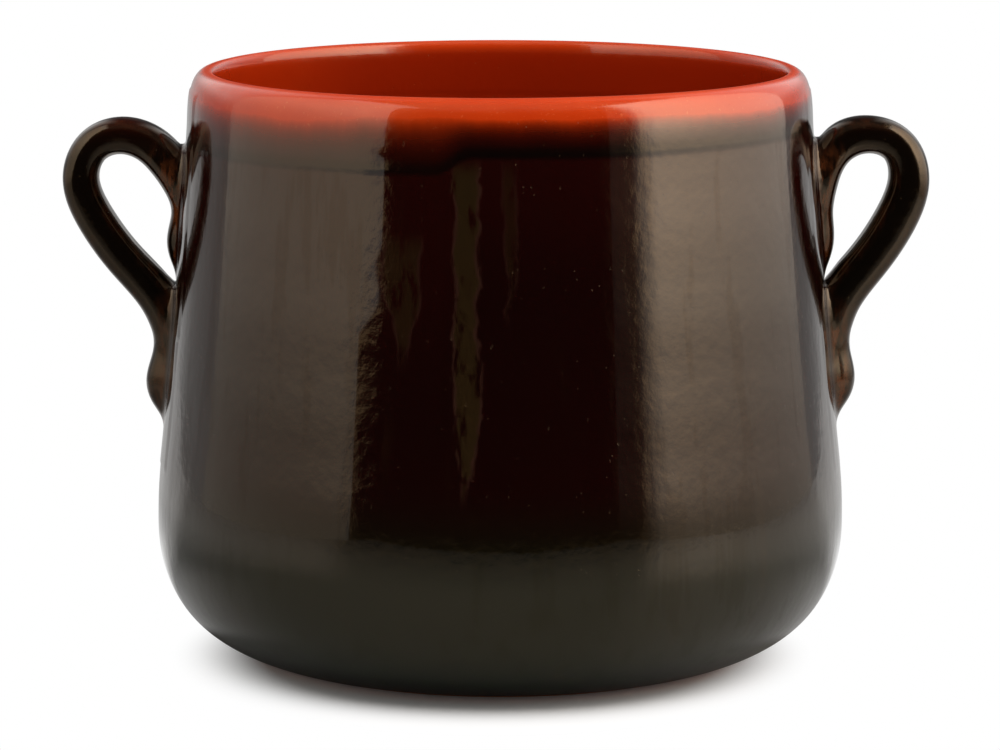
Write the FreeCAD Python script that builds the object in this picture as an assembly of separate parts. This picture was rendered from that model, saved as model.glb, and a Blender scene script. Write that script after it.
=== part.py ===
"""A wide-bellied, two-eared cooking pot in glazed earthenware, fired as one piece.

The pot's axis is Z and its foot stands on Z = 0.  Its two ears lie in the XZ
plane, one at each end of X.  All sizes are millimetres.
"""
import FreeCAD, Part
import math
import os

V = FreeCAD.Vector
ORIGIN = V(0, 0, 0)
POT_AXIS = V(0, 0, 1)
ACROSS_EAR = V(0, 1, 0)
SEAM_TURN_DEG = 90

# Outside of the thrown body, from the foot up
FOOT_RADIUS = 91.4
FOOT_EDGE_ROUND = 4.0
FOOT_RISE_DEG = 18.2
BELLY_RADIUS = 133.65
BELLY_HEIGHT = 51.0
BELLY_ROUND = 59.5
BELLY_ROUND_DEG = 16.4
SHOULDER_ROUND = 130.0
HEIGHT = 227.5
RIM_RADIUS = 119.6
RIM_DEPTH = 10.0

# Wall, floor and lip
WALL = 9.3
FLOOR = 10.5
LIP_ROUND = 3.6
LIP_SOFT_ROUND = 19.0

# Ears
EAR_DROP = 135.0
EAR_REACH = 40.0
EAR_THICK = 14.0
EAR_WIDTH = 18.0
EAR_FULLNESS = 0.85
EAR_BED_DEPTH = 4.6
EAR_ROOT_FILLET = 1.0
ON_WALL = 0.01

# Each ear is one pulled strap, laid from the tip of its upper tail, up and
# round the loop, to the tip of its lower tail.  A station gives its drop below
# the rim as a share of EAR_DROP, how far the strap's middle stands off the
# wall as a share of EAR_REACH, and its shares of EAR_THICK and EAR_WIDTH.  The
# ears were pulled by hand and differ a little.
LEFT_EAR = (
    (0.585, -0.140, 0.52, 0.70),
    (0.536, -0.022, 0.62, 0.90),
    (0.493, 0.005, 0.66, 0.98),
    (0.415, -0.015, 0.64, 1.08),
    (0.336, 0.040, 0.90, 1.30),
    (0.264, 0.185, 1.07, 1.30),
    (0.220, 0.355, 1.06, 1.12),
    (0.196, 0.628, 1.02, 1.00),
    (0.224, 0.885, 0.99, 0.98),
    (0.310, 0.995, 1.00, 0.98),
    (0.433, 0.830, 1.05, 0.98),
    (0.560, 0.487, 1.08, 1.00),
    (0.670, 0.145, 1.13, 1.10),
    (0.737, 0.030, 1.10, 1.10),
    (0.822, 0.007, 0.95, 0.98),
    (0.915, -0.010, 1.24, 1.06),
    (0.963, -0.075, 1.05, 0.92),
    (1.000, -0.212, 0.80, 0.70),
)
RIGHT_EAR = (
    (0.585, -0.130, 0.56, 0.70),
    (0.536, -0.028, 0.66, 0.90),
    (0.489, 0.007, 0.72, 0.98),
    (0.415, 0.000, 0.80, 1.08),
    (0.336, 0.048, 0.86, 1.26),
    (0.264, 0.135, 0.96, 1.28),
    (0.220, 0.250, 1.06, 1.12),
    (0.193, 0.510, 1.04, 1.02),
    (0.226, 0.810, 1.04, 1.00),
    (0.308, 0.897, 1.12, 1.00),
    (0.436, 0.742, 1.19, 1.00),
    (0.562, 0.430, 1.19, 1.04),
    (0.668, 0.135, 1.24, 1.12),
    (0.728, 0.040, 1.24, 1.12),
    (0.819, 0.010, 1.11, 1.02),
    (0.913, -0.010, 1.26, 1.08),
    (0.959, -0.075, 1.02, 0.92),
    (1.000, -0.210, 0.86, 0.70),
)


def polar(centre, radius, angle):
    """(radius, height) point at an angle round a centre in the wall section."""
    return (centre[0] + radius * math.cos(angle), centre[1] + radius * math.sin(angle))


def line(start, end):
    """Straight edge between two (radius, height) points."""
    return Part.makeLine(V(start[0], 0, start[1]), V(end[0], 0, end[1]))


def arc(centre, radius, start, end):
    """Arc edge round a centre in the wall section, between two angles."""
    points = [polar(centre, radius, angle) for angle in (start, (start + end) / 2, end)]
    return Part.Arc(*[V(x, 0, z) for x, z in points]).toShape()


def revolved(edges):
    """Solid turned round the pot's axis, with its seam at the back."""
    solid = Part.Face(Part.Wire(edges)).revolve(ORIGIN, POT_AXIS, 360)
    solid.rotate(ORIGIN, POT_AXIS, SEAM_TURN_DEG)
    return solid


class Section:
    """The pot's wall section: tangent arcs and straight runs, foot to lip.

    The outside is a straight underside, the foot arc, the belly arc, the
    shoulder arc above the widest ring, the straight neck and the soft arc of
    the lip.  An inset draws the same run further in.  An angle is that of the
    outward normal above the horizontal.
    """

    def __init__(self):
        self.place_neck()
        self.place_underside()
        self.place_lip()

    def place_neck(self):
        """Straight neck through the rim point, tangent to the shoulder arc."""
        self.shoulder = (BELLY_RADIUS - SHOULDER_ROUND, BELLY_HEIGHT)
        across = RIM_RADIUS - self.shoulder[0]
        up = HEIGHT - RIM_DEPTH - self.shoulder[1]
        reach = math.hypot(across, up)
        self.lean = math.atan2(up, across) - math.acos(SHOULDER_ROUND / reach)

    def place_underside(self):
        """Foot arc that joins the belly arc to the straight underside."""
        rise = math.radians(FOOT_RISE_DEG)
        self.under = rise - math.pi / 2
        self.turn = -math.radians(BELLY_ROUND_DEG)
        self.belly = (BELLY_RADIUS - BELLY_ROUND, BELLY_HEIGHT)
        self.edge = (FOOT_RADIUS - FOOT_EDGE_ROUND * math.sin(rise), FOOT_EDGE_ROUND)
        foot = polar(self.edge, FOOT_EDGE_ROUND, self.under)
        end = polar(self.belly, BELLY_ROUND, self.turn)
        above_line = end[1] - foot[1] - (end[0] - foot[0]) * math.tan(rise)
        corner = above_line / (math.cos(self.turn) + math.sin(self.turn) * math.tan(rise))
        self.foot_round = corner / math.tan((self.turn - self.under) / 2)
        self.foot = polar(end, -self.foot_round, self.turn)

    def place_lip(self):
        """Crest arc of the lip, and the soft arc that leads the neck into it."""
        self.crest = self.neck_point(WALL - LIP_ROUND, HEIGHT - LIP_ROUND)
        inwards = LIP_SOFT_ROUND + LIP_ROUND - WALL
        between = LIP_SOFT_ROUND - LIP_ROUND
        down = math.sqrt(between ** 2 - inwards ** 2)
        self.lip_turn = self.lean + math.atan2(down, inwards)
        self.soft = polar(self.crest, -between, self.lip_turn)

    def neck_point(self, inset, height):
        """Point of the straight neck at a height, set in from the outer face."""
        start = polar(self.shoulder, SHOULDER_ROUND - inset, self.lean)
        return (start[0] - (height - start[1]) * math.tan(self.lean), height)

    def radius_at(self, height):
        """Outer radius at a height between the widest ring and the lip."""
        rise = height - self.shoulder[1]
        if rise > SHOULDER_ROUND * math.sin(self.lean):
            return self.neck_point(0, height)[0]
        return self.shoulder[0] + math.sqrt(SHOULDER_ROUND ** 2 - rise ** 2)

    def neck_edges(self, inset, top):
        """Edges from the widest ring up the neck to the point given."""
        return [
            arc(self.shoulder, SHOULDER_ROUND - inset, 0, self.lean),
            line(polar(self.shoulder, SHOULDER_ROUND - inset, self.lean), top),
        ]

    def outside_edges(self):
        """Edges from the middle of the foot out and up to the lip's crest arc."""
        foot = polar(self.edge, FOOT_EDGE_ROUND, self.under)
        edges = [
            line((0, 0), (self.edge[0], 0)),
            arc(self.edge, FOOT_EDGE_ROUND, -math.pi / 2, self.under),
            line(foot, polar(self.foot, self.foot_round, self.under)),
            arc(self.foot, self.foot_round, self.under, self.turn),
            arc(self.belly, BELLY_ROUND, self.turn, 0),
        ]
        edges += self.neck_edges(0, polar(self.soft, LIP_SOFT_ROUND, self.lean))
        edges.append(arc(self.soft, LIP_SOFT_ROUND, self.lean, self.lip_turn))
        return edges

    def inside_edges(self):
        """Edges from the middle of the floor out and up to the lip's crest arc."""
        start = polar(self.belly, BELLY_ROUND - WALL, self.turn)
        floor_round = (start[1] - FLOOR) / (1 + math.sin(self.turn))
        corner = polar(start, -floor_round, self.turn)
        edges = [
            line((0, FLOOR), (corner[0], FLOOR)),
            arc(corner, floor_round, -math.pi / 2, self.turn),
            arc(self.belly, BELLY_ROUND - WALL, self.turn, 0),
        ]
        return edges + self.neck_edges(WALL, polar(self.crest, LIP_ROUND, self.lean + math.pi))


def make_body(section):
    """The thrown body: its wall section turned round the pot's axis."""
    crest = arc(section.crest, LIP_ROUND, section.lip_turn, section.lean + math.pi)
    middle = line((0, FLOOR), (0, 0))
    edges = section.outside_edges() + [crest] + section.inside_edges() + [middle]
    return revolved(Part.sortEdges(edges)[0])


def make_bed(section):
    """Plain core within the wall, which limits how deep an ear is let into it."""
    low = (BELLY_RADIUS - EAR_BED_DEPTH, BELLY_HEIGHT)
    top = section.neck_point(EAR_BED_DEPTH, HEIGHT - RIM_DEPTH)
    edges = section.neck_edges(EAR_BED_DEPTH, top)
    edges += [line(top, (0, top[1])), line((0, top[1]), (0, low[1])), line((0, low[1]), low)]
    return revolved(edges)


def strap_section(centre, along, thick, width):
    """Closed section of the strap, a rounded oblong square to its run.

    The curve is a smooth closed spline on eight poles.  They lie a little
    outside the section, so that it measures thick by width.
    """
    outwards = ACROSS_EAR.cross(along)
    swell = 3 / (2 + EAR_FULLNESS)
    half_thick = swell * thick / 2
    half_width = swell * width / 2
    poles = []
    for eighth in range(8):
        angle = math.pi * eighth / 4
        reach = 1 if eighth % 2 == 0 else EAR_FULLNESS * math.sqrt(2)
        out = outwards * (reach * half_thick * math.cos(angle))
        side = ACROSS_EAR * (reach * half_width * math.sin(angle))
        poles.append(centre + out + side)
    curve = Part.BSplineCurve()
    curve.buildFromPolesMultsKnots(poles, [1] * 9, list(range(9)), True, 3)
    return Part.Wire(curve.toShape())


def make_ear(section, stations, direction):
    """One ear, pulled through its stations; direction is -1 left or +1 right."""
    centres = []
    for drop, stand_off, _, _ in stations:
        height = HEIGHT - drop * EAR_DROP
        radius = section.radius_at(height) + stand_off * EAR_REACH
        centres.append(V(direction * radius, 0, height))
    run = Part.BSplineCurve()
    run.interpolate(centres)
    sections = []
    for centre, (_, _, thick, width) in zip(centres, stations):
        along = run.tangent(run.parameter(centre))[0]
        sections.append(strap_section(centre, along, thick * EAR_THICK, width * EAR_WIDTH))
    strap = Part.makeLoft(sections, True, False)
    return strap.cut(make_bed(section))


def on_wall(section, edge):
    """True where an edge runs on the outer side, between an ear and the wall."""
    first, last = edge.ParameterRange
    for share in (0.2, 0.5, 0.8):
        point = edge.valueAt(first + share * (last - first))
        if abs(point.y) > 2 * EAR_WIDTH:
            return False
        if abs(math.hypot(point.x, point.y) - section.radius_at(point.z)) > ON_WALL:
            return False
    return True


def make_pot():
    """Body and ears as one fired piece, with slip rounded in at each root."""
    section = Section()
    ears = [make_ear(section, LEFT_EAR, -1), make_ear(section, RIGHT_EAR, 1)]
    pot = make_body(section).fuse(ears)
    roots = [edge for edge in pot.Edges if on_wall(section, edge)]
    return pot.makeFillet(EAR_ROOT_FILLET, roots)


pot = make_pot()
os.makedirs("parts", exist_ok=True)
pot.exportStep("parts/pot.step")
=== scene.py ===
"""Ceramic pot: a wide dark-glazed earthenware pot with a bare orange rim and two pulled ears.

The pot is one fired piece. Its body is a thrown, turned wall, and each ear is a pulled strap
pressed on to the wall and blended into it, so all three surfaces end as one closed mesh that
stands for the CAD solid. One material holds the glaze, the bare rim and inside, and the foot.
"""

import logging
import math
from dataclasses import dataclass, field
from enum import Enum

import bpy
import numpy as np
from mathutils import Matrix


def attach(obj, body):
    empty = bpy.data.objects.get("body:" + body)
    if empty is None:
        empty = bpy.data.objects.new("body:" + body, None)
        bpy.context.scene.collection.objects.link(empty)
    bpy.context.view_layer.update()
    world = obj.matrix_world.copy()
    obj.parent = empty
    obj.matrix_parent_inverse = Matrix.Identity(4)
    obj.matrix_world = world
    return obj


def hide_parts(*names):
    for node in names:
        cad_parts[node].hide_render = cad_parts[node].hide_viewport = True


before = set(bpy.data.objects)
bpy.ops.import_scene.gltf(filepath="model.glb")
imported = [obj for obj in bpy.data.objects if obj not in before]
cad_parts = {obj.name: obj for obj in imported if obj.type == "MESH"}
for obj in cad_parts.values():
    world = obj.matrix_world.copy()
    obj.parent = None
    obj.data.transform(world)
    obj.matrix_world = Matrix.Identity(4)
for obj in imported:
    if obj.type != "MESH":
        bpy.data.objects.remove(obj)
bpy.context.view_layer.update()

log = logging.getLogger("pot")
MM = 0.001
Points = np.ndarray


class Side(Enum):
    """Which side of the pot an ear stands on; the value is the sign of X there."""

    LEFT = -1
    RIGHT = 1


class Mark(Enum):
    """A mask stored on the pot's points; the value is the name of its attribute."""

    OUTER = "outer"
    STRAP = "strap"
    THIN = "thin"


# Curves and grids


@dataclass(frozen=True)
class Run:
    """One cubic run of the wall's outline, as (radius, height) points in mm."""

    start: tuple[float, float]
    leave: tuple[float, float]
    arrive: tuple[float, float]
    end: tuple[float, float]
    rows: int

    def points(self) -> Points:
        """Rows spread evenly by length on the run, without its end point.

        A cubic of four points is (1-t)^3 A + 3t(1-t)^2 B + 3t^2(1-t) C + t^3 D.

        Returns:
            Array of shape (rows, 2).
        """
        t = np.linspace(0.0, 1.0, 400)[:, None]
        a, b, c, d = (np.array(p, float) for p in (self.start, self.leave, self.arrive, self.end))
        fine = (1 - t) ** 3 * a + 3 * t * (1 - t) ** 2 * b + 3 * t * t * (1 - t) * c + t**3 * d
        length = np.r_[0.0, np.cumsum(np.hypot(*np.diff(fine, axis=0).T))]
        at = np.linspace(0.0, length[-1], self.rows + 1)[:-1]
        return np.stack([np.interp(at, length, fine[:, k]) for k in (0, 1)], axis=1)


def spline_through(knots: Points, values: Points, at: Points) -> Points:
    """Smooth curve through given values: a natural cubic spline.

    The second derivatives at the knots solve the usual three-term system, and between two
    knots the value is the cubic that has those second derivatives at both ends.

    Args:
        knots: Rising parameter of each value, shape (n,).
        values: What the curve passes through, shape (n, k).
        at: Parameters to work out, shape (m,).

    Returns:
        Array of shape (m, k).
    """
    step = np.diff(knots)
    system = np.diag(np.r_[1.0, 2 * (step[:-1] + step[1:]), 1.0])
    system += np.diag(np.r_[0.0, step[1:]], 1) + np.diag(np.r_[step[:-1], 0.0], -1)
    right = np.zeros_like(values)
    right[1:-1] = 6 * np.diff(np.diff(values, axis=0) / step[:, None], axis=0)
    bend = np.linalg.solve(system, right)
    i = np.clip(np.searchsorted(knots, at, side="right") - 1, 0, len(knots) - 2)
    h = step[i][:, None]
    past, left = (at - knots[i])[:, None], (knots[i + 1] - at)[:, None]
    cubic = (bend[i] * left**3 + bend[i + 1] * past**3) / (6 * h)
    low = (values[i] / h - bend[i] * h / 6) * left
    high = (values[i + 1] / h - bend[i + 1] * h / 6) * past
    return cubic + low + high


def grid_faces(rows: int, columns: int) -> list[list[int]]:
    """Quads of a grid that closes round its columns, and a fan on a pole at each end.

    Vertex numbers run row by row; the two poles follow the last row.

    Args:
        rows: Number of rows of vertices.
        columns: Number of vertices in a row.

    Returns:
        Face index lists, all turned the same way.
    """
    index = np.arange(rows * columns).reshape(rows, columns)
    turned = np.roll(index, -1, axis=1)
    quads = np.stack([index[:-1], turned[:-1], turned[1:], index[1:]], axis=-1).reshape(-1, 4)
    first, last = rows * columns, rows * columns + 1
    near = np.stack([np.full(columns, first), turned[0], index[0]], axis=-1)
    far = np.stack([index[-1], turned[-1], np.full(columns, last)], axis=-1)
    return quads.tolist() + near.tolist() + far.tolist()


def grid_normals(grid: Points) -> Points:
    """Unit normals of a grid closed round its columns: the cross product of its two tangents.

    Args:
        grid: Points of shape (rows, columns, 3).

    Returns:
        Array of the same shape.
    """
    along = np.gradient(grid, axis=0)
    around = np.roll(grid, -1, axis=1) - np.roll(grid, 1, axis=1)
    normal = np.cross(around, along)
    return normal / np.maximum(np.linalg.norm(normal, axis=-1, keepdims=True), 1e-12)


def points_in(mesh: bpy.types.Mesh) -> Points:
    """Places of a mesh's points in mm, shape (n, 3)."""
    co = np.empty(len(mesh.vertices) * 3)
    mesh.vertices.foreach_get("co", co)
    return co.reshape(-1, 3) / MM


def closed_mesh(name: str, grid: Points, poles: Points) -> bpy.types.Object:
    """Object from a closed grid in mm, its faces turned outwards.

    Args:
        name: Name of the object.
        grid: Points of shape (rows, columns, 3).
        poles: The two end points, shape (2, 3).

    Returns:
        The linked object, at the origin and in metres.
    """
    rows, columns, _ = grid.shape
    points = np.concatenate([grid.reshape(-1, 3), poles])
    faces = grid_faces(rows, columns)
    corners = points[np.array(faces[: (rows - 1) * columns])]
    volume = np.einsum("ij,ij->", corners[:, 0], np.cross(corners[:, 1], corners[:, 2]))
    if volume < 0:
        faces = [face[::-1] for face in faces]
    mesh = bpy.data.meshes.new(name)
    mesh.from_pydata((points * MM).tolist(), [], faces)
    made = bpy.data.objects.new(name, mesh)
    bpy.context.scene.collection.objects.link(made)
    return made


# The thrown body


@dataclass
class ThrownBody:
    """The turned wall, floor and lip. Sizes in mm."""

    height: float = 227.5
    wall: float = 9.3
    floor: float = 10.5
    lip_from: float = 195.0
    lip_height: float = 32.5
    true_below: float = 6.0
    true_within: float = 80.0
    columns: int = 288
    crowding: float = 0.75
    runs: tuple[Run, ...] = (
        Run((6.0, 0.0), (30.0, 0.0), (60.0, 0.0), (88.4, 0.0), 14),
        Run((88.4, 0.0), (89.8, 0.0), (90.7, 0.05), (91.4, 0.3), 3),
        Run((91.4, 0.3), (96.5, 2.1), (133.65, 7.0), (133.65, 52.0), 46),
        Run((133.65, 52.0), (133.65, 78.39), (130.09, 77.8), (120.8, 204.0), 118),
        Run((120.8, 204.0), (120.15, 212.7), (121.15, 227.5), (112.5, 227.5), 26),
        Run((112.5, 227.5), (110.9, 227.5), (110.1, 225.2), (110.45, 219.0), 10),
        Run((110.45, 219.0), (120.8, 78.4), (124.35, 78.0), (124.35, 52.0), 42),
        Run((124.35, 52.0), (124.35, 17.0), (99.0, 10.5), (86.0, 10.5), 24),
        Run((86.0, 10.5), (60.0, 10.5), (30.0, 10.5), (4.0, 10.5), 12),
    )
    inside_from: int = 5
    _table: Points = field(init=False, repr=False)

    def __post_init__(self) -> None:
        """Keeps the outer side as a table of height against radius and outward slope."""
        outer = np.concatenate([run.points() for run in self.runs[2:5]])
        slope = np.gradient(outer[:, 0]) / np.maximum(np.gradient(outer[:, 1]), 1e-6)
        self._table = np.stack([outer[:, 1], outer[:, 0], slope], axis=1)

    def outer_radius(self, height: Points) -> Points:
        """Radius of the outer side at each height."""
        return np.interp(height, self._table[:, 0], self._table[:, 1])

    def outer_distance(self, points: Points) -> Points:
        """Distance from the outer side, positive outside: the gap in radius times the
        cosine of the wall's lean.

        Args:
            points: Array of shape (..., 3).

        Returns:
            Array of shape (...).
        """
        height = points[..., 2]
        lean = np.interp(height, self._table[:, 0], self._table[:, 2])
        gap = np.hypot(points[..., 0], points[..., 1]) - self.outer_radius(height)
        return gap / np.sqrt(1 + lean**2)

    def angles(self) -> Points:
        """Angle of each column: s - c sin(2s)/2, which crowds the columns at both ears."""
        s = np.linspace(0.0, 2 * math.pi, self.columns, endpoint=False)
        return s - self.crowding * np.sin(2 * s) / 2

    def unevenness(self, angle: Points, height: Points) -> Points:
        """How far the hand-thrown wall falls short of a true turned one, in mm.

        A sum of a few slow waves in angle and height, moved so that it is never above 0.

        Args:
            angle: Angle of each column.
            height: Height of each row.

        Returns:
            Array of shape (rows, columns), 0 at most.
        """
        z, a = height[:, None], angle[None, :]
        oval = 0.10 * np.cos(2 * a + 0.9) + 0.06 * np.cos(3 * a - 0.4)
        rings = 0.035 * np.sin(z / 5.3 + 0.6 * np.sin(a))
        rings = rings + 0.03 * np.sin(z / 13.1 + 1.7 + np.cos(a))
        dents = 0.05 * np.sin(z / 19.0 + 4 * a + 0.7) * np.cos(5 * a - z / 31.0)
        return oval + rings + dents - 0.28

    def grid(self) -> Points:
        """The wall's surface: the outline turned round the axis, a little uneven.

        A point is (r cos a, r sin a, z), where (r, z) runs on the outline. The unevenness fades
        out towards the foot's edge and the middle. The lip's top dips by slow waves round it,
        in full at the rim and by the square of the height in the lip below it.

        Returns:
            Array of shape (rows, columns, 3) in mm.
        """
        outline = np.concatenate([run.points() for run in self.runs] + [[[4.0, self.floor]]])
        radius, height = outline[:, 0], outline[:, 1]
        angle = self.angles()
        fade = np.clip(radius / self.true_within, 0, 1) * np.clip(height / self.true_below, 0, 1)
        r = radius[:, None] + self.unevenness(angle, height) * fade[:, None]
        lip = np.clip((height - self.lip_from) / self.lip_height, 0.0, 1.0)[:, None] ** 2
        dip = 0.26 + 0.14 * np.cos(2 * angle - 0.5) + 0.08 * np.cos(3 * angle + 1.1)
        z = height[:, None] - lip * dip[None, :]
        return np.stack([r * np.cos(angle), r * np.sin(angle), z], axis=-1)

    def poles(self) -> Points:
        """Middle of the underside and of the floor."""
        return np.array([[0.0, 0.0, 0.0], [0.0, 0.0, self.floor]])


# The pulled ears


@dataclass
class PulledEar:
    """One strap pulled by hand through its stations, from its upper tail to its lower one.

    A station gives the drop below the rim and how far the strap's middle stands off the
    wall, as shares of drop and reach, and its shares of thick and width. Sizes in mm; the
    three thin values say how thin the glaze runs on its corners and its two tails.
    """

    side: Side
    stations: tuple[tuple[float, float, float, float], ...]
    drop: float = 135.0
    reach: float = 40.0
    thick: float = 14.0
    width: float = 18.0
    squareness: float = 2.68
    bed_depth: float = 6.5
    thin_corner: float = 0.12
    thin_upper: float = 0.9
    thin_lower: float = 0.55
    rows: int = 176
    columns: int = 48
    _path: Points = field(init=False, repr=False)
    _along: Points = field(init=False, repr=False)
    _half: Points = field(init=False, repr=False)

    def lay(self, body: ThrownBody) -> None:
        """Works out the strap's middle line, its direction there and its half sizes.

        Args:
            body: The wall that the stations are measured from.
        """
        share = np.array(self.stations)
        height = body.height - share[:, 0] * self.drop
        reach = body.outer_radius(height) + share[:, 1] * self.reach
        middle = np.stack([self.side.value * reach, height], axis=1)
        knots = np.r_[0.0, np.cumsum(np.hypot(*np.diff(middle, axis=0).T))]
        fine = np.linspace(0.0, knots[-1], self.rows)
        sizes = share[:, 2:] * (self.thick / 2, self.width / 2)
        run = spline_through(knots, np.concatenate([middle, sizes], axis=1), fine)
        self._path, self._half = run[:, :2], run[:, 2:]
        along = np.gradient(self._path, axis=0)
        self._along = along / np.linalg.norm(along, axis=1, keepdims=True)

    def grid(self, body: ThrownBody) -> Points:
        """The strap's skin: a rounded oblong carried along the middle line.

        The section is a superellipse, thick |cos|^(2/n) out and width |sin|^(2/n) sideways.
        Deep in the wall a point's depth d becomes b tanh(d/b), so no end comes through it.

        Args:
            body: The wall it is let into.

        Returns:
            Array of shape (rows, columns, 3) in mm.
        """
        turn = np.linspace(0.0, 2 * math.pi, self.columns, endpoint=False)
        power = 2 / self.squareness
        out = np.sign(np.cos(turn)) * np.abs(np.cos(turn)) ** power
        sideways = np.sign(np.sin(turn)) * np.abs(np.sin(turn)) ** power
        normal = np.stack([self._along[:, 1], -self._along[:, 0]], axis=1)
        plane = self._path[:, None] + normal[:, None] * (self._half[:, :1] * out)[..., None]
        y = self._half[:, 1:] * sideways
        skin = np.stack([plane[..., 0], y, plane[..., 1]], axis=-1)
        depth = np.maximum(-body.outer_distance(skin), 0.0)
        shift = depth - self.bed_depth * np.tanh(depth / self.bed_depth)
        radius = np.hypot(skin[..., 0], skin[..., 1])
        grown = (radius + shift) / np.maximum(radius, 1e-9)
        skin[..., :2] *= grown[..., None]
        return skin

    def local(self, points: Points) -> tuple[Points, Points, Points]:
        """Where points lie against the strap.

        The nearest place on the middle line gives a row; the offset there is split into
        out and sideways parts, each over the half size of the section in that row.

        Args:
            points: Array of shape (n, 3) in mm.

        Returns:
            Row as a share of the run, out share and sideways share.
        """
        flat = points[:, [0, 2]]
        gap = ((flat[:, None, :] - self._path[None]) ** 2).sum(axis=-1)
        row = gap.argmin(axis=1)
        offset = flat - self._path[row]
        normal = np.stack([self._along[row, 1], -self._along[row, 0]], axis=1)
        out = (offset * normal).sum(axis=1)
        beyond = (offset * self._along[row]).sum(axis=1)
        half = self._half[row]
        reach = np.hypot(out, beyond) * np.where(out < 0, -1.0, 1.0)
        return row / (self.rows - 1.0), reach / half[:, 0], points[:, 1] / half[:, 1]

    def distance(self, points: Points) -> Points:
        """Distance from the strap's skin, positive outside: the superellipse value less 1,
        over the length of its slope.

        Args:
            points: Array of shape (n, 3) in mm.

        Returns:
            Array of shape (n,).
        """
        row, u, v = self.local(points)
        half = self._half[np.round(row * (self.rows - 1)).astype(int)]
        n = self.squareness
        a, b = np.abs(u) + 1e-6, np.abs(v) + 1e-6
        value = (a**n + b**n) ** (1 / n)
        du = (a / value) ** (n - 1) / half[:, 0]
        dv = (b / value) ** (n - 1) / half[:, 1]
        return (value - 1) / np.hypot(du, dv)

    def thin_glaze(self, points: Points) -> Points:
        """How thin the glaze has run, 0 to 1.

        It is a little thin on the strap's rounded corners, where the out and sideways shares
        are both large, and most on the flanks of the upper and lower tail.

        Args:
            points: Array of shape (n, 3) in mm, on the strap's skin.

        Returns:
            Array of shape (n,).
        """
        row, u, v = self.local(points)
        corner = np.clip((np.abs(u * v) - 0.40) / 0.22, 0.0, 1.0)
        upper = np.clip((0.28 - row) / 0.10, 0.0, 1.0) * self.thin_upper
        lower = np.clip((row - 0.74) / 0.08, 0.0, 1.0) * self.thin_lower
        flank = np.clip((np.abs(v) - 0.62) / 0.30, 0.0, 1.0)
        flank = flank * np.clip(1.1 - np.abs(u + 0.25), 0.0, 1.0)
        return np.maximum(corner * self.thin_corner, flank * np.maximum(upper, lower))

    def near(self, points: Points, margin: float) -> Points:
        """True for points within a margin of the strap's own box."""
        low = np.r_[self._path.min(0)[0], -self._half[:, 1].max(), self._path.min(0)[1]]
        high = np.r_[self._path.max(0)[0], self._half[:, 1].max(), self._path.max(0)[1]]
        grow = margin + self.thick
        return ((points > low - grow) & (points < high + grow)).all(axis=-1)

    def poles(self) -> Points:
        """The two ends of the middle line, inside the wall."""
        ends = self._path[[0, -1]]
        return np.stack([ends[:, 0], np.zeros(2), ends[:, 1]], axis=1)


@dataclass
class LutedJoint:
    """The worked-over clay between an ear and the wall. Sizes in mm."""

    body: ThrownBody
    ear: PulledEar
    blend: float = 4.4
    search_share: float = 1.2
    steps: int = 16
    overlap: float = 0.12
    wall_skin: float = 1.0

    def field(self, own: Points, other: Points) -> Points:
        """Smooth minimum of two distances, raised past the middle of the joint.

        The smooth minimum is min(a,b) - k h^2/4 with h = 1 - |a-b|/k. Past the middle, where
        the other skin is nearer, the field grows, so the skin dives below the other one.

        Args:
            own: Distance to the skin being moved.
            other: Distance to the other skin.

        Returns:
            The field, 0 on the blended skin.
        """
        k = self.blend
        h = np.clip(1 - np.abs(own - other) / k, 0.0, 1.0)
        past = np.maximum(own - other, 0.0)
        return np.minimum(own, other) - k * h * h / 4 + self.overlap * past + past**2 / k

    def lift(self, points: Points, normals: Points, on_wall: bool) -> Points:
        """Moves a skin out along its normals on to the blended skin.

        The field is sampled at even steps outwards, and the first place where it turns
        positive is found between two of them in proportion.

        Args:
            points: Skin points, shape (n, 3).
            normals: Their outward unit normals.
            on_wall: True for the wall's skin, False for the ear's.

        Returns:
            Moved points.
        """
        near = self.ear.near(points, self.blend)
        if on_wall:
            near &= self.body.outer_distance(points) > -self.wall_skin
        p, n = points[near], normals[near]
        reach = np.linspace(0.0, self.blend * self.search_share, self.steps)
        samples = []
        for step in reach:
            at = p + n * step
            wall, strap = self.body.outer_distance(at), self.ear.distance(at)
            samples.append(self.field(wall, strap) if on_wall else self.field(strap, wall))
        value = np.array(samples)
        positive = value >= 0
        first = np.where(positive.any(axis=0), positive.argmax(axis=0), 0)
        before = np.maximum(first - 1, 0)
        column = np.arange(len(p))
        high, low = value[first, column], value[before, column]
        share = np.where(first > 0, -low / np.maximum(high - low, 1e-9), 0.0)
        far = reach[before] + share * (reach[first] - reach[before])
        moved = points.copy()
        moved[near] = p + n * far[:, None]
        return moved


# The fired pot


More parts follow.
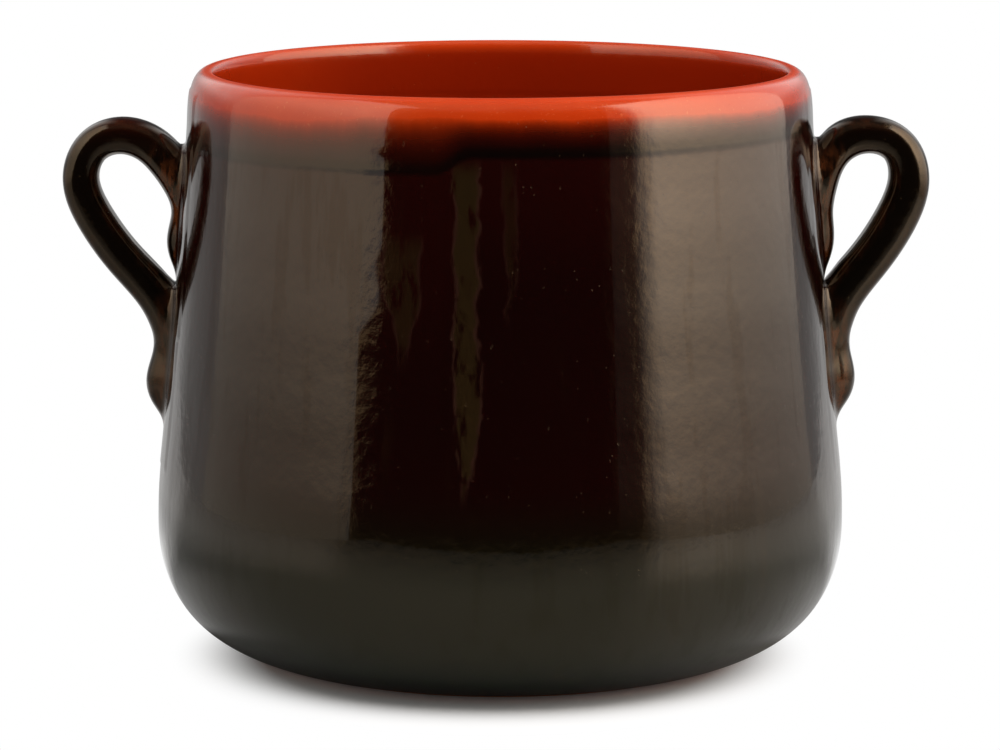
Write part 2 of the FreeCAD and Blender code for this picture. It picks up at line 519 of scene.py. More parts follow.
LEFT_STATIONS = (
    (0.585, -0.140, 0.52, 0.70), (0.536, -0.022, 0.62, 0.90), (0.493, 0.005, 0.66, 0.98),
    (0.415, -0.015, 0.64, 1.08), (0.336, 0.040, 0.90, 1.30), (0.264, 0.185, 1.07, 1.30),
    (0.220, 0.355, 1.06, 1.12), (0.196, 0.628, 1.02, 1.00), (0.224, 0.885, 0.99, 0.98),
    (0.310, 0.995, 1.00, 0.98), (0.433, 0.830, 1.05, 0.98), (0.560, 0.487, 1.08, 1.00),
    (0.670, 0.145, 1.13, 1.10), (0.737, 0.030, 1.10, 1.10), (0.822, 0.007, 0.95, 0.98),
    (0.915, -0.010, 1.24, 1.06), (0.963, -0.075, 1.05, 0.92), (1.000, -0.212, 0.80, 0.70),
)
RIGHT_STATIONS = (
    (0.585, -0.130, 0.56, 0.70), (0.536, -0.028, 0.66, 0.90), (0.489, 0.007, 0.72, 0.98),
    (0.415, 0.000, 0.80, 1.08), (0.336, 0.048, 0.86, 1.26), (0.264, 0.135, 0.96, 1.28),
    (0.220, 0.250, 1.06, 1.12), (0.193, 0.510, 1.04, 1.02), (0.226, 0.810, 1.04, 1.00),
    (0.308, 0.897, 1.12, 1.00), (0.436, 0.742, 1.19, 1.00), (0.562, 0.430, 1.19, 1.04),
    (0.668, 0.135, 1.24, 1.12), (0.728, 0.040, 1.24, 1.12), (0.819, 0.010, 1.11, 1.02),
    (0.913, -0.010, 1.26, 1.08), (0.959, -0.075, 1.02, 0.92), (1.000, -0.210, 0.86, 0.70),
)


@dataclass
class GlazedPot:
    """Body and ears joined into one closed piece."""

    body: ThrownBody = field(default_factory=ThrownBody)
    ears: tuple[PulledEar, ...] = field(default_factory=lambda: (
        PulledEar(Side.LEFT, LEFT_STATIONS), PulledEar(Side.RIGHT, RIGHT_STATIONS)))
    smoothing_rounds: int = 10
    smoothing_band: float = 2.2
    smoothing_share: float = 0.6
    outer_share: float = 0.45
    near_ear: float = 2.0

    def build(self) -> bpy.types.Object:
        """Makes the three skins, blends them at the joints and unites them.

        Returns:
            The finished piece, with its masks but no material.
        """
        for ear in self.ears:
            ear.lay(self.body)
        joints = [LutedJoint(self.body, ear) for ear in self.ears]
        wall = self.body.grid()
        shape, normals = wall.shape, grid_normals(wall).reshape(-1, 3)
        skin = wall.reshape(-1, 3)
        outward = np.sign((normals[:, :2] * skin[:, :2]).sum(axis=1, keepdims=True))
        rows = np.repeat(np.arange(shape[0]), shape[1])
        is_outer = rows < sum(run.rows for run in self.body.runs[: self.body.inside_from])
        for joint in joints:
            moved = joint.lift(skin, normals * outward, True)
            skin = np.where(is_outer[:, None], moved, skin)
        pot = closed_mesh("glazed_pot", skin.reshape(shape), self.body.poles())
        for joint in joints:
            strap = joint.ear.grid(self.body)
            normals = grid_normals(strap)
            centre = strap.mean(axis=1, keepdims=True)
            sign = np.sign(((strap - centre) * normals).sum())
            flat = joint.lift(strap.reshape(-1, 3), normals.reshape(-1, 3) * sign, False)
            part = closed_mesh("strap", flat.reshape(strap.shape), joint.ear.poles())
            self.unite(pot, part)
        self.smooth_joints(pot)
        self.mark_sides(pot)
        pot.data.shade_smooth()
        return pot

    def mark_sides(self, pot: bpy.types.Object) -> None:
        """Stores the three masks as attributes.

        The first is 1 on the outer side: less deep than a share of the wall, or below the
        middle of the floor. The second is 1 on the ears and falls to 0 within 1.6 mm of them.
        The third says how thin the glaze has run on their corners and tails.

        Args:
            pot: The joined piece.
        """
        co = points_in(pot.data)
        skin = self.body.outer_distance(co) > -self.outer_share * self.body.wall
        outer = skin | (co[:, 2] < self.body.floor / 2)
        strap, thin = np.zeros(len(co)), np.zeros(len(co))
        for ear in self.ears:
            near = np.flatnonzero(ear.near(co, self.near_ear))
            on_ear = np.clip(1.6 - ear.distance(co[near]), 0.0, 1.0)
            strap[near] = np.maximum(strap[near], on_ear)
            thin[near] = np.maximum(thin[near], ear.thin_glaze(co[near]) * strap[near])
        for mark, value in ((Mark.OUTER, outer), (Mark.STRAP, strap), (Mark.THIN, thin)):
            stored = pot.data.attributes.new(mark.value, "FLOAT", "POINT")
            stored.data.foreach_set("value", value.astype(np.float32))

    def unite(self, pot: bpy.types.Object, part: bpy.types.Object) -> None:
        """Unites a closed part with the pot, which takes the result as its own mesh.

        Args:
            pot: The piece so far.
            part: What is added; it is removed afterwards.
        """
        join = pot.modifiers.new("unite", "BOOLEAN")
        join.operation, join.solver, join.object = "UNION", "MANIFOLD", part
        graph = bpy.context.evaluated_depsgraph_get()
        joined = bpy.data.meshes.new_from_object(pot.evaluated_get(graph))
        pot.modifiers.clear()
        before, added = pot.data, part.data
        pot.data = joined
        bpy.data.objects.remove(part)
        bpy.data.meshes.remove(before)
        bpy.data.meshes.remove(added)

    def smooth_joints(self, pot: bpy.types.Object) -> None:
        """Evens out the points along the two joints: each moves towards the mean of its
        neighbours, by a share that falls to 0 at the edge of a band about the joint.

        Args:
            pot: The joined piece.
        """
        mesh, co = pot.data, points_in(pot.data)
        edges = np.empty(len(mesh.edges) * 2, int)
        mesh.edges.foreach_get("vertices", edges)
        a, b = edges.reshape(-1, 2).T
        share = np.zeros(len(co))
        for ear in self.ears:
            depth = self.body.outer_distance(co)
            near = np.flatnonzero(ear.near(co, self.near_ear) & (depth > -1.0))
            apart = np.abs(depth[near] - ear.distance(co[near]))
            share[near] = np.maximum(share[near], np.clip(1 - apart / self.smoothing_band, 0, 1))
        ends = np.bincount(a, minlength=len(co)) + np.bincount(b, minlength=len(co))
        count = np.maximum(ends, 1)
        for _ in range(self.smoothing_rounds):
            mean = np.zeros_like(co)
            np.add.at(mean, a, co[b])
            np.add.at(mean, b, co[a])
            co += (mean / count[:, None] - co) * (share * self.smoothing_share)[:, None]
        mesh.vertices.foreach_set("co", (co * MM).ravel())
        mesh.update()


# Shaders


Colour = tuple[float, float, float]
WHITE: Colour = (1.0, 1.0, 1.0)


@dataclass(frozen=True)
class Grain:
    """A noise on object coordinates: cycles a metre on each axis, detail and roughness."""

    stretch: tuple[float, float, float]
    detail: float
    roughness: float = 0.5


POUR_WAVES = Grain((11.0, 11.0, 11.0), 2.0)
POUR_EDGE = Grain((70.0, 70.0, 22.0), 4.0, 0.6)
RUN_EDGE = Grain((45.0, 45.0, 48.0), 5.0, 0.65)
STREAKS = Grain((75.0, 75.0, 4.5), 3.0, 0.55)
BREAKS = Grain((260.0, 260.0, 60.0), 5.0, 0.7)
DRIPS = Grain((105.0, 105.0, 9.0), 4.0, 0.65)
THIN_PATCHES = Grain((330.0, 330.0, 90.0), 4.0, 0.65)
CLAY_BLOTCHES = Grain((30.0, 30.0, 30.0), 4.0, 0.6)
CLAY_SPECKS = Grain((900.0, 900.0, 900.0), 1.0)
ORANGE_PEEL = Grain((160.0, 160.0, 160.0), 1.0)
FLOW = Grain((48.0, 48.0, 7.0), 3.0, 0.6)
FINE_PEEL = Grain((330.0, 330.0, 250.0), 4.0, 0.65)
PITS = Grain((760.0, 760.0, 760.0), 0.0)
RAGGED_SHADE = Grain((26.0, 6.0, 1.0), 5.0, 0.75)


class Signal:
    """A socket whose operators add Math nodes, so shader maths reads as an expression."""

    def __init__(self, shader: "Shader", socket: bpy.types.NodeSocket) -> None:
        """Keeps the socket and the shader that it belongs to."""
        self.shader = shader
        self.socket = socket

    def _math(self, operation: str, *values: object) -> "Signal":
        """Adds one Math node."""
        settings = {"operation": operation}
        return self.shader.node("ShaderNodeMath", settings, dict(enumerate(values)))[0]

    def __add__(self, other: object) -> "Signal":
        """Sum."""
        return self._math("ADD", self, other)

    __radd__ = __add__

    def __sub__(self, other: object) -> "Signal":
        """Difference."""
        return self._math("SUBTRACT", self, other)

    def __rsub__(self, other: object) -> "Signal":
        """Difference from a number."""
        return self._math("SUBTRACT", other, self)

    def __mul__(self, other: object) -> "Signal":
        """Product."""
        return self._math("MULTIPLY", self, other)

    __rmul__ = __mul__

    def __truediv__(self, other: object) -> "Signal":
        """Quotient."""
        return self._math("DIVIDE", self, other)

    def sqrt(self) -> "Signal":
        """Square root."""
        return self._math("SQRT", self)

    def exp(self) -> "Signal":
        """e to this power."""
        return self._math("EXPONENT", self)

    def least(self, other: object) -> "Signal":
        """Smaller of two values."""
        return self._math("MINIMUM", self, other)

    def most(self, other: object) -> "Signal":
        """Larger of two values."""
        return self._math("MAXIMUM", self, other)

    def rise(self, low: float, high: float) -> "Signal":
        """0 below low, 1 above high and smooth between; falls where low is above high."""
        settings = {"interpolation_type": "SMOOTHSTEP", "clamp": True}
        start, end = (0.0, 1.0) if low < high else (1.0, 0.0)
        inputs = {"Value": self, "From Min": min(low, high), "From Max": max(low, high),
                  "To Min": start, "To Max": end}
        return self.shader.node("ShaderNodeMapRange", settings, inputs)[0]


class Shader:
    """Node tree of one material or of the world."""

    def __init__(self, tree: bpy.types.NodeTree) -> None:
        """Empties the tree and keeps it."""
        self.tree = tree
        tree.nodes.clear()

    def node(self, kind: str, settings: dict | None = None,
             inputs: dict | None = None) -> list[Signal]:
        """Adds one node.

        Args:
            kind: Blender's type name of the node.
            settings: Attributes, set before the sockets.
            inputs: Value or link of each enabled socket, by name or number.

        Returns:
            Its enabled outputs as signals.
        """
        made = self.tree.nodes.new(kind)
        for name, value in (settings or {}).items():
            setattr(made, name, value)
        enabled = [s for s in made.inputs if s.enabled]
        for key, value in (inputs or {}).items():
            socket = enabled[key] if isinstance(key, int) else next(
                s for s in enabled if s.name == key)
            self._feed(socket, value)
        return [Signal(self, s) for s in made.outputs if s.enabled]

    def named(self, kind: str, settings: dict | None = None) -> dict[str, Signal]:
        """Adds one node that takes nothing in, and gives its outputs by name."""
        return {s.socket.name: s for s in self.node(kind, settings)}

    def _feed(self, socket: bpy.types.NodeSocket, value: object) -> None:
        """Links a signal to a socket, or sets the socket to a number or colour."""
        if isinstance(value, Signal):
            self.tree.links.new(value.socket, socket)
        elif isinstance(value, tuple) and socket.type == "RGBA":
            socket.default_value = (*value, 1.0)
        else:
            socket.default_value = value

    def blend(self, factor: object, first: object, second: object) -> Signal:
        """Colour between two, by a factor from 0 to 1."""
        inputs = {"Factor": factor, "A": first, "B": second}
        return self.node("ShaderNodeMix", {"data_type": "RGBA"}, inputs)[0]

    def number(self, factor: object, first: object, second: object) -> Signal:
        """Number between two, by a factor from 0 to 1."""
        inputs = {"Factor": factor, "A": first, "B": second}
        return self.node("ShaderNodeMix", {"data_type": "FLOAT"}, inputs)[0]

    def axes(self) -> list[Signal]:
        """Object coordinates as x, y and z in metres."""
        at = self.named("ShaderNodeTexCoord")["Object"]
        return self.node("ShaderNodeSeparateXYZ", None, {0: at})

    def noise(self, grain: Grain) -> Signal:
        """A grain's noise, about 0.5 on average."""
        at = self.named("ShaderNodeTexCoord")["Object"]
        scaled = self.node("ShaderNodeVectorMath", {"operation": "MULTIPLY"},
                           {0: at, 1: grain.stretch})[0]
        inputs = {"Vector": scaled, "Scale": 1.0, "Detail": grain.detail,
                  "Roughness": grain.roughness}
        return self.node("ShaderNodeTexNoise", {"noise_dimensions": "3D"}, inputs)[0]

    def mask(self, mark: Mark) -> Signal:
        """A mask stored on the mesh."""
        return self.named("ShaderNodeAttribute", {"attribute_name": mark.value})["Fac"]

    def bump(self, height: Signal, distance: float, under: Signal | None = None) -> Signal:
        """Normal moved by a height in shares of a distance in metres."""
        inputs = {"Height": height, "Distance": distance, "Strength": 1.0}
        if under is not None:
            inputs["Normal"] = under
        return self.node("ShaderNodeBump", None, inputs)[0]

    def matt(self, colour: object) -> Signal:
        """A matt surface."""
        return self.node("ShaderNodeBsdfDiffuse", None, {"Color": colour})[0]

    def glow(self, colour: Colour, radiance: object) -> Signal:
        """A glowing surface."""
        inputs = {"Color": colour, "Strength": radiance}
        return self.node("ShaderNodeEmission", None, inputs)[0]

    def either(self, factor: Signal, first: Signal, second: Signal) -> Signal:
        """A surface between two, by a factor from 0 to 1."""
        return self.node("ShaderNodeMixShader", None, {0: factor, 1: first, 2: second})[0]

    def output(self, surface: Signal) -> None:
        """Makes a surface the material's own."""
        self.node("ShaderNodeOutputMaterial", None, {"Surface": surface})


# The finish


@dataclass(frozen=True)
class GlazeRun:
    """A lighter run in the glaze: where it is, how wide and how strong. Angle in degrees
    from the front, positive to the right; heights and width in mm."""

    angle: float
    width: float
    top: float
    bottom: float
    strength: float


@dataclass(frozen=True)
class Spot:
    """Where a point of the pot is, as signals: x and y in metres, its height and how far it
    is below the rim in mm, whether it is in front, and the three masks of the mesh."""

    x: Signal
    y: Signal
    height: Signal
    rim: Signal
    front: Signal
    outer: Signal
    strap: Signal
    thin: Signal


@dataclass(frozen=True)
class Pour:
    """What the poured glaze did, as signals: how far a point is below its edge in mm, and
    masks of the bare clay, the pooled line, the full glaze below that line, the lighter runs
    and the fringes along them."""

    depth: Signal
    bare: Signal
    pooled: Signal
    below: Signal
    runs: Signal
    fringe: Signal


@dataclass(frozen=True)
class DarkGlaze:
    """Brown-black glaze over orange clay, poured from the rim down.

    Colours are linear. Lengths of the pour are in mm and depths of the relief in metres. The
    values named coat_less are how much of the clear coat each place lacks, and those named
    rough_more are what it adds to the roughness.
    """

    clay: Colour = (0.52, 0.030, 0.0012)
    pale_clay: Colour = (0.57, 0.042, 0.003)
    # painted shade: the inside's darker, redder clay stands in for the dimmer light inside the
    # pot
    inside: Colour = (0.29, 0.014, 0.0008)
    speck: Colour = (0.75, 0.22, 0.08)
    red_glaze: Colour = (0.0125, 0.0006, 0.0005)
    glaze: Colour = (0.0050, 0.0003, 0.0003)
    # greenish low down: a painted tint of the table's reflection in the lower belly
    painted_low_reflection: Colour = (0.0028, 0.0050, 0.0016)
    olive: Colour = (0.019, 0.0098, 0.0030)
    fringe: Colour = (0.055, 0.020, 0.016)
    pooled: Colour = (0.0006, 0.0006, 0.0006)
    strap_glaze: Colour = (0.0016, 0.0013, 0.0007)
    thin: Colour = (0.13, 0.034, 0.010)
    foot: Colour = (0.36, 0.125, 0.050)

    specular_level: float = 0.69
    specular_tint: Colour = (1.0, 0.68, 0.36)
    coat_roughness: float = 0.04
    ior: float = 1.5
    clay_roughness: float = 0.20
    glaze_roughness: float = 0.075
    foot_roughness: float = 0.7
    rough_more_runs: float = 0.10
    rough_more_crest: float = 0.2
    rough_more_strap: float = 0.05
    coat_less_crest: float = 0.8
    coat_less_pooled: float = 0.12
    coat_less_strap: float = 0.5
    coat_less_drips: float = 0.2
    coat_less_clay: float = 0.1

    peel_depth: float = 0.00012
    flow_depth: float = 0.00025
    fine_peel_depth: float = 0.00009
    line_depth: float = 0.00014
    pit_depth: float = 0.00010

    pour_waves: float = 4.0
    pour_ragged: float = 2.4
    fade_from: float = 6.6
    fade_length: float = 2.3
    lower_left: float = 3.3
    lower_far_left: float = 0.9
    lower_right: float = 2.0
    lower_all: float = 0.3
    line_drop: float = 6.5
    run_wander: float = 11.0
    runs: tuple[GlazeRun, ...] = (
        GlazeRun(-5.6, 9.0, 203.0, 84.0, 1.0),
        GlazeRun(1.8, 4.5, 203.0, 148.0, 0.4),
        GlazeRun(-16.8, 13.0, 176.0, 132.0, 0.6),
        GlazeRun(97.0, 8.0, 190.0, 60.0, 0.8),
        GlazeRun(161.0, 10.0, 200.0, 90.0, 0.8),
        GlazeRun(-128.0, 9.0, 196.0, 70.0, 0.8),
    )

    def spot(self, sh: Shader, body: ThrownBody) -> Spot:
        """Where a point is on the pot.

        Args:
            sh: The shader it is read in.
            body: The wall, for the height of its rim.

        Returns:
            The signals of the point.
        """
        x, y, z = sh.axes()
        height = z * 1000
        outer, strap, thin = (sh.mask(mark) for mark in (Mark.OUTER, Mark.STRAP, Mark.THIN))
        front = y.rise(0.02, -0.02)
        return Spot(x, y, height, body.height - height, front, outer, strap, thin)

    def run_masks(self, run: GlazeRun, at: Spot, wobble: Signal) -> tuple[Signal, Signal]:
        """A run of the glaze, with a wandering edge and a tapering lower end.

        Args:
            run: The run.
            at: The point.
            wobble: How far the edge wanders, from -0.5 to 0.5.

        Returns:
            Two masks: the run itself, and the fringe along its two sides.
        """
        a = math.radians(run.angle)
        across = at.x * (1000 * math.cos(a)) + at.y * (1000 * math.sin(a))
        across = across + wobble * self.run_wander
        facing = (at.x * math.sin(a) - at.y * math.cos(a)).rise(0.0, 0.02)
        half = run.width / 2
        taper = at.height.rise(run.bottom + 32, run.bottom - 4) * (half * 0.8)
        band = ((across * across).sqrt() + taper).rise(half + 1.2, half - 1.2)
        length = at.height.rise(run.bottom - 6, run.bottom + 10)
        length = length * at.height.rise(run.top + 5, run.top - 5)
        length = length * facing * run.strength
        return band * length, band * (1 - band) * length

    def pour(self, sh: Shader, at: Spot) -> Pour:
        """The edges of the poured glaze, and the runs in it.

        Clay is bare down to a wandering edge, below which it fades as exp(-depth / length). In
        front the edge lies lower at both sides, and the pooled line lower left of the middle.

        Args:
            sh: The shader it is made in.
            at: The point.

        Returns:
            The signals of the pour.
        """
        waves = (sh.noise(POUR_WAVES) - 0.5) * self.pour_waves
        ragged = (sh.noise(POUR_EDGE) - 0.5) * self.pour_ragged
        drop = at.x.rise(-0.010, -0.024) * at.front
        lower = at.x.rise(-0.045, -0.072) * self.lower_left
        lower = lower - at.x.rise(-0.08, -0.10) * self.lower_far_left
        lower = (lower + at.x.rise(0.05, 0.10) * self.lower_right) * at.front + self.lower_all
        depth = (at.rim - lower + waves - self.fade_from) / (1 + drop * 0.7) + self.fade_from
        bare = ((self.fade_from - depth - ragged) / self.fade_length).exp().least(1.0)
        line = at.rim + waves * 0.7 + ragged * 0.2 - drop * self.line_drop
        below = line.rise(19.6, 22.6)
        pooled = line.rise(15.5, 18.5) * (1 - below)
        runs, fringe = 0.0, 0.0
        wobble = sh.noise(RUN_EDGE) - 0.5
        for run in self.runs:
            middle, sides = self.run_masks(run, at, wobble)
            runs, fringe = middle + runs, sides + fringe
        streaks = sh.noise(STREAKS).rise(0.58, 0.74) * 0.3
        broken = sh.noise(BREAKS).rise(0.36, 0.50)
        runs = (runs.least(1.0) * broken).most(streaks) * below
        return Pour(depth, bare, pooled, below, runs, fringe * broken * below * 1.3)

    def glaze_colour(self, sh: Shader, at: Spot, pour: Pour) -> Signal:
        """The dark glaze: red below the pooled line and greenish low down, a painted tint of the
        table's reflection there, with olive runs, black where it pooled, and thin on the ears'
        edges and just above the foot.

        Args:
            sh: The shader it is made in.
            at: The point.
            pour: The pour there.

        Returns:
            The colour.
        """
        red = pour.below * (1 - pour.depth.rise(20.0, 75.0) * 0.8)
        colour = sh.blend(red, self.glaze, self.red_glaze)
        # painted reflection: the lower belly takes the table's greenish tint
        colour = sh.blend(at.height.rise(90.0, 45.0), colour, self.painted_low_reflection)
        colour = sh.blend(pour.runs, colour, self.olive)
        colour = sh.blend(pour.fringe, colour, self.fringe)
        colour = sh.blend(pour.pooled, colour, self.pooled)
        colour = sh.blend(at.strap * 0.9, colour, self.strap_glaze)
        thin = at.thin * sh.noise(THIN_PATCHES).rise(0.40, 0.62)
        return sh.blend(thin.most(at.height.rise(4.6, 2.6) * 0.7), colour, self.thin)

    def clay_colour(self, sh: Shader, at: Spot) -> Signal:
        """The bare clay: orange with paler blotches and specks, and darker and redder inside the
        pot, which is painted shade for the inside's dimmer light, less of it on the left, which
        the right softbox lights.

        Args:
            sh: The shader it is made in.
            at: The point.

        Returns:
            The colour.
        """
        blotch = sh.noise(CLAY_BLOTCHES).rise(0.3, 0.75)
        colour = sh.blend(blotch, self.clay, self.pale_clay)
        # painted shade inside the pot, less of it on the left, where the right softbox lights the
        # inside
        painted_inside_shade = (1 - at.outer) * at.rim.rise(1.2, 6.0)
        painted_inside_shade = painted_inside_shade * (1 - at.x.rise(-0.05, -0.11) * 0.55)
        colour = sh.blend(painted_inside_shade, colour, self.inside)
        speck = sh.noise(CLAY_SPECKS).rise(0.66, 0.78)
        return sh.blend(speck * at.outer * 0.2, colour, self.speck)

    def relief(self, sh: Shader, pour: Pour) -> Signal:
        """The normal, moved by five bumps one after another: the peel, the flow and the fine
        peel of the glaze, the step at the pooled line, and pits.

        Args:
            sh: The shader it is made in.
            pour: The pour there.

        Returns:
            The normal.
        """
        pits = sh.noise(PITS).rise(0.82, 0.87)
        normal = sh.bump(sh.noise(ORANGE_PEEL), self.peel_depth)
        normal = sh.bump(sh.noise(FLOW), self.flow_depth, normal)
        normal = sh.bump(sh.noise(FINE_PEEL), self.fine_peel_depth, normal)
        normal = sh.bump(1 - pour.below, self.line_depth, normal)
        return sh.bump(1 - pits, self.pit_depth, normal)

    def dress(self, pot: bpy.types.Object, body: ThrownBody) -> None:
        """Gives the pot its one material.

        Args:
            pot: The piece to dress.
            body: The wall, for the height of its rim.
        """
        made = bpy.data.materials.new("glazed_earthenware")
        made.use_nodes = True
        sh = Shader(made.node_tree)
        at = self.spot(sh, body)
        pour = self.pour(sh, at)
        dark = (1 - pour.bare) * at.outer
        foot = at.height.rise(3.0, 2.1)
        crest = at.rim.rise(1.6, 0.5)
        drips = sh.noise(DRIPS).rise(0.54, 0.63) * pour.below
        colour = sh.blend(dark, self.clay_colour(sh, at), self.glaze_colour(sh, at, pour))
        coat = (1 - crest * self.coat_less_crest) * (1 - pour.pooled * self.coat_less_pooled)
        coat = coat * (1 - at.strap * self.coat_less_strap) * (1 - drips * self.coat_less_drips)
        coat = coat * (1 - self.coat_less_clay + dark * self.coat_less_clay) * (1 - foot)
        rough = sh.number(dark, self.clay_roughness, self.glaze_roughness)
        rough = rough + pour.runs * self.rough_more_runs + crest * self.rough_more_crest
        rough = (rough + at.strap * self.rough_more_strap).most(foot * self.foot_roughness)
        surface = sh.node("ShaderNodeBsdfPrincipled", None, {
            "Base Color": sh.blend(foot, colour, self.foot), "Roughness": rough,
            "IOR": self.ior, "Specular IOR Level": self.specular_level,
            "Specular Tint": self.specular_tint, "Coat Weight": coat,
            "Coat Roughness": self.coat_roughness, "Coat IOR": self.ior,
            "Normal": self.relief(sh, pour)})[0]
        sh.output(surface)
        pot.data.materials.clear()
        pot.data.materials.append(made)


# The studio


@dataclass(frozen=True)
class Softbox:
    """An upright glowing sheet beside the pot, at x.

    Metres; front is its front edge as (y, z) points from the bottom up, and back is where its
    back edge stands. Its radiance is foot and then more over each step, which gives two
    heights and an amount. The steps fall to back_share of their amounts towards the back
    edge, and all of it falls to strip_share in front, between the two depths of strip.
    """

    name: str
    colour: Colour
    x: float
    front: tuple[tuple[float, float], ...]
    back: float
    foot: float
    steps: tuple[tuple[float, float, float], ...]
    back_share: float
    strip_share: float = 1.0
    strip: tuple[float, float] = (-2.1, -2.0)
    full_from: float = -0.6

    def radiance(self, sh: Shader) -> Signal:
        """Radiance over the sheet."""
        _, y, z = sh.axes()
        share = sh.number(y.rise(self.back, self.full_from), self.back_share, 1.0)
        power = self.foot
        for low, high, more in self.steps:
            power = z.rise(low, high) * share * more + power
        return power * sh.number(y.rise(*self.strip), self.strip_share, 1.0)


RIGHT_BOX = Softbox(
    name="softbox_right", colour=(1.0, 0.92, 0.83), x=0.72,
    front=((-0.93, -0.35), (-0.94, 0.4), (-0.8, 1.3)), back=0.42,
    foot=0.34, steps=((-0.05, 0.15, 0.42), (0.02, 0.36, 2.75)), back_share=0.36,
    strip_share=0.05, strip=(-0.74, -0.50))
LEFT_BOX = Softbox(
    name="softbox_left", colour=(1.0, 0.96, 0.88), x=-0.72,
    front=((-0.62, -0.35), (-0.665, -0.035), (-0.68, 0.135), (-0.86, 0.175), (-0.87, 0.4),
           (-0.74, 1.3)), back=0.24,
    foot=0.30, steps=((0.05, 0.17, 0.42), (0.2, 0.7, 0.85)), back_share=0.5)


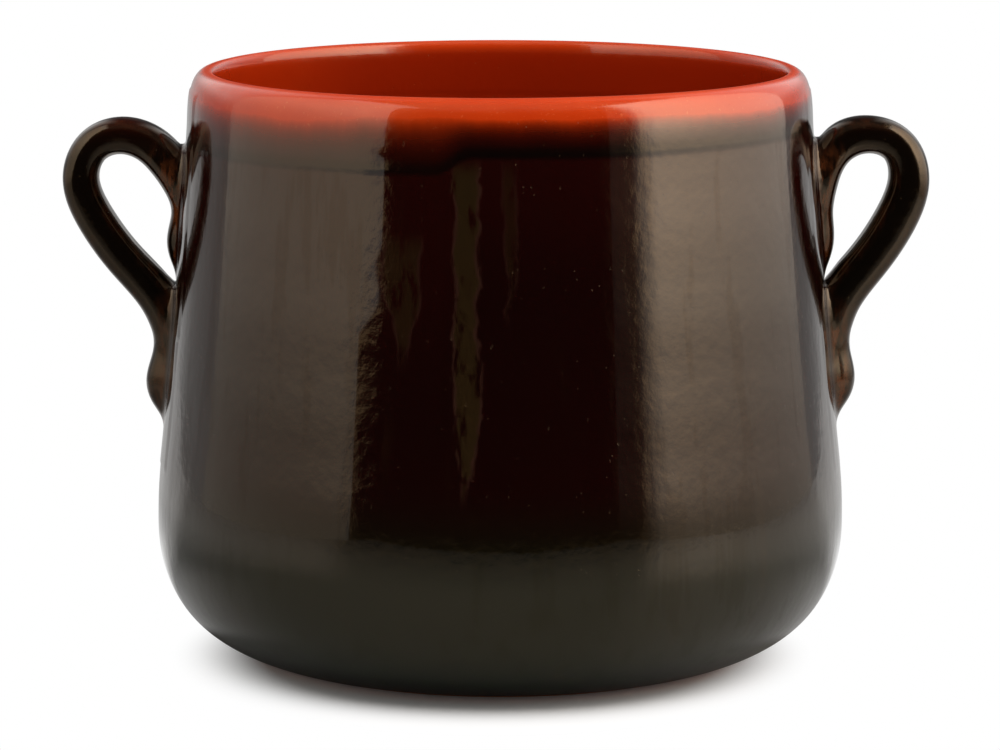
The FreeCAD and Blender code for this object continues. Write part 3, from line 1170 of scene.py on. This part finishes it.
@dataclass
class Studio:
    """Pale table, white backdrop, two side softboxes, one overhead, and the camera.

    Metres and degrees. The levels are what the glaze sees: the table's plain grey, how much more
    painted light it has at the right and the left, and the room's own light.
    """

    camera_distance: float = 1.8
    camera_height: float = 0.40782
    camera_pitch: float = 9.482
    lens: float = 168.68
    sensor: float = 36.0
    nearest: float = 0.1
    farthest: float = 50.0
    table_front: float = -0.85
    table_half_width: float = 0.66
    table_back: float = 1.2
    table_colour: Colour = (0.96, 0.96, 0.97)
    table_level: float = 0.17
    right_level: float = 0.09
    right_far_level: float = 0.19
    left_far_level: float = 0.12
    beside_level: float = 0.2
    shadow_place: tuple[float, float] = (-0.003, -0.0135)
    shadow_squeeze: float = 1.087
    shadow_white: tuple[float, float] = (0.094, 0.137)
    shadow_floor: float = 0.012
    top_height: float = 1.3
    top_half_width: float = 0.72
    top_front: float = -1.15
    top_back: float = 0.15
    top_radiance: float = 3.0
    top_gloss: float = 0.05
    top_right_gloss: float = 1.5
    top_left_gloss: float = 1.3
    room_level: float = 0.3
    room_gloss: float = 0.009
    room_back_gloss: float = 0.22
    room_side_gloss: float = 0.5
    softboxes: tuple[Softbox, ...] = (RIGHT_BOX, LEFT_BOX)

    def sheet(self, name: str, corners: list[list[float]]) -> tuple[bpy.types.Object, Shader]:
        """A flat sheet of the studio with an empty material.

        Args:
            name: Name of the sheet.
            corners: Its corners in metres.

        Returns:
            The sheet and its shader.
        """
        mesh = bpy.data.meshes.new(name)
        mesh.from_pydata(corners, [], [list(range(len(corners)))])
        sheet = bpy.data.objects.new(name, mesh)
        bpy.context.scene.collection.objects.link(sheet)
        made = bpy.data.materials.new(name)
        made.use_nodes = True
        mesh.materials.append(made)
        return sheet, Shader(made.node_tree)

    def side_light(self, box: Softbox) -> None:
        """A softbox beside the pot, which the camera doesn't see."""
        high, low = box.front[-1][1], box.front[0][1]
        corners = [[box.x, box.back, high], [box.x, box.back, low]]
        sheet, sh = self.sheet(box.name, corners + [[box.x, y, z] for y, z in box.front])
        sh.output(sh.glow(box.colour, box.radiance(sh)))
        sheet.visible_camera = False

    def top_light(self) -> None:
        """The wide soft light over the pot and in front of it, dimmer in the glaze."""
        w, high = self.top_half_width, self.top_height
        corners = [[-w, self.top_front, high], [w, self.top_front, high],
                   [w, self.top_back, high], [-w, self.top_back, high]]
        sheet, sh = self.sheet("softbox_top", corners)
        x, y, _ = sh.axes()
        sides = x.rise(0.66, 0.72) * self.top_right_gloss
        sides = sides + x.rise(-0.54, -0.62) * self.top_left_gloss
        in_gloss = self.top_gloss + sides * y.rise(-0.85, -0.70)
        is_glossy = sh.named("ShaderNodeLightPath")["Is Glossy Ray"]
        sh.output(sh.glow(WHITE, sh.number(is_glossy, self.top_radiance, in_gloss)))
        sheet.visible_camera = False

    def table_painted_light(self, sh: Shader, x: Signal, y: Signal, away: Signal) -> Signal:
        """The table's grey in the glaze, with light and shade painted into its colour: lighter at
        the right and far to the left, as if lit there, darker towards its front, where it ends in
        a ragged painted shade.

        Args:
            sh: The table's shader.
            x: Place across in metres.
            y: Place in depth in metres.
            away: Distance from the pot's axis.

        Returns:
            The colour.
        """
        # painted light and shade on the table's grey, which the glaze mirrors
        right = (x * 0.78 + y).rise(-0.14, -0.03) * x.rise(0.0, 0.1)
        right = right * (self.right_level + away.rise(0.25, 0.5) * self.right_far_level)
        right = right * (1 - y.rise(-0.25, 0.05) * 0.4)
        left = (y - x * 0.72).rise(-0.14, 0.0) * x.rise(0.0, -0.1) * away.rise(0.30, 0.50)
        level = self.table_level + right + left * self.left_far_level
        level = level * (1 - y.rise(-0.22, -0.68) * 0.52)
        ragged = (sh.noise(RAGGED_SHADE) - 0.5) * 0.5
        level = level * (y + ragged).rise(-0.80, -0.76)
        channels = {"Red": level, "Green": level, "Blue": level}
        return sh.node("ShaderNodeCombineColor", None, channels)[0]

    def table(self) -> None:
        """The pale table: white to the camera but for the pot's shadow, and in the glaze a grey
        with painted light and shade, which glows white only behind the pot and close beside it.
        Matt light from round the pot is that of the pale table."""
        w, front, back = self.table_half_width, self.table_front, self.table_back
        corners = [[-w, front, 0.0], [w, front, 0.0], [w, back, 0.0], [-w, back, 0.0]]
        _, sh = self.sheet("table", corners)
        x, y, _ = sh.axes()
        across = (x - self.shadow_place[0]) * self.shadow_squeeze
        forward = y - self.shadow_place[1]
        away = (across * across + forward * forward).sqrt()
        pale, white = sh.matt(self.table_colour), sh.glow(WHITE, 1.0)
        lit = away.rise(*self.shadow_white).most(self.shadow_floor)
        behind = (y - (x * x).sqrt() * 0.6).rise(-0.08, 0.05) * away.rise(0.125, 0.15)
        behind = behind * (0.95 - away.rise(0.16, 0.42) * 0.65)
        beside = away.rise(0.122, 0.135) * away.rise(0.30, 0.15) * y.rise(-0.12, 0.02)
        grey = sh.either(behind.most(beside * self.beside_level),
                         sh.matt(self.table_painted_light(sh, x, y, away)), white)
        path = sh.named("ShaderNodeLightPath")
        unseen = sh.either(path["Is Diffuse Ray"] * away.rise(0.32, 0.20), grey, pale)
        sh.output(sh.either(path["Is Camera Ray"], unseen, sh.either(lit, pale, white)))

    def backdrop(self) -> None:
        """White to the camera and behind the pot, a dim room round the rest of it."""
        world = bpy.data.worlds.new("room")
        bpy.context.scene.world = world
        world.use_nodes = True
        sh = Shader(world.node_tree)
        way = sh.named("ShaderNodeTexCoord")["Generated"]
        x, y, z = sh.node("ShaderNodeSeparateXYZ", None, {0: way})
        path = sh.named("ShaderNodeLightPath")
        gloss = self.room_gloss + y.rise(-0.05, 0.20) * self.room_back_gloss
        gloss = gloss + y.rise(0.70, 0.97) * self.room_back_gloss
        beside = z.rise(0.05, 0.3) * (x * x).rise(0.02, 0.12) * y.rise(0.2, 0.6)
        gloss = gloss + beside * self.room_side_gloss
        gloss = gloss * (1 - z.rise(0.0, 0.14) * (1 - (x * x).rise(0.01, 0.06)) * 0.85)
        mirrored = path["Is Glossy Ray"].most(path["Is Transmission Ray"])
        level = sh.number(mirrored, self.room_level, gloss)
        level = sh.number(path["Is Camera Ray"], level, 1.0)
        glow = sh.node("ShaderNodeBackground", None, {"Color": WHITE, "Strength": level})[0]
        sh.node("ShaderNodeOutputWorld", None, {"Surface": glow})

    def camera(self) -> None:
        """The camera at the photograph's height and pitch."""
        data = bpy.data.cameras.new("camera")
        data.lens, data.sensor_width = self.lens, self.sensor
        data.clip_start, data.clip_end = self.nearest, self.farthest
        made = bpy.data.objects.new("camera", data)
        made.location = (0.0, -self.camera_distance, self.camera_height)
        made.rotation_euler = (math.radians(90 - self.camera_pitch), 0.0, 0.0)
        bpy.context.scene.collection.objects.link(made)
        bpy.context.scene.camera = made

    def set_up(self) -> None:
        """Builds the whole studio."""
        bpy.context.scene.view_settings.view_transform = "Standard"
        for box in self.softboxes:
            self.side_light(box)
        self.top_light()
        self.table()
        self.backdrop()
        self.camera()


def main() -> None:
    logging.basicConfig(level=logging.INFO, format="%(name)s: %(message)s")
    fired = GlazedPot()
    pot = fired.build()
    DarkGlaze().dress(pot, fired.body)
    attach(pot, "root")
    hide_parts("pot")
    log.info("%s: %d points, %d faces", pot.name, len(pot.data.vertices), len(pot.data.polygons))
    Studio().set_up()


if __name__ == "__main__":
    main()
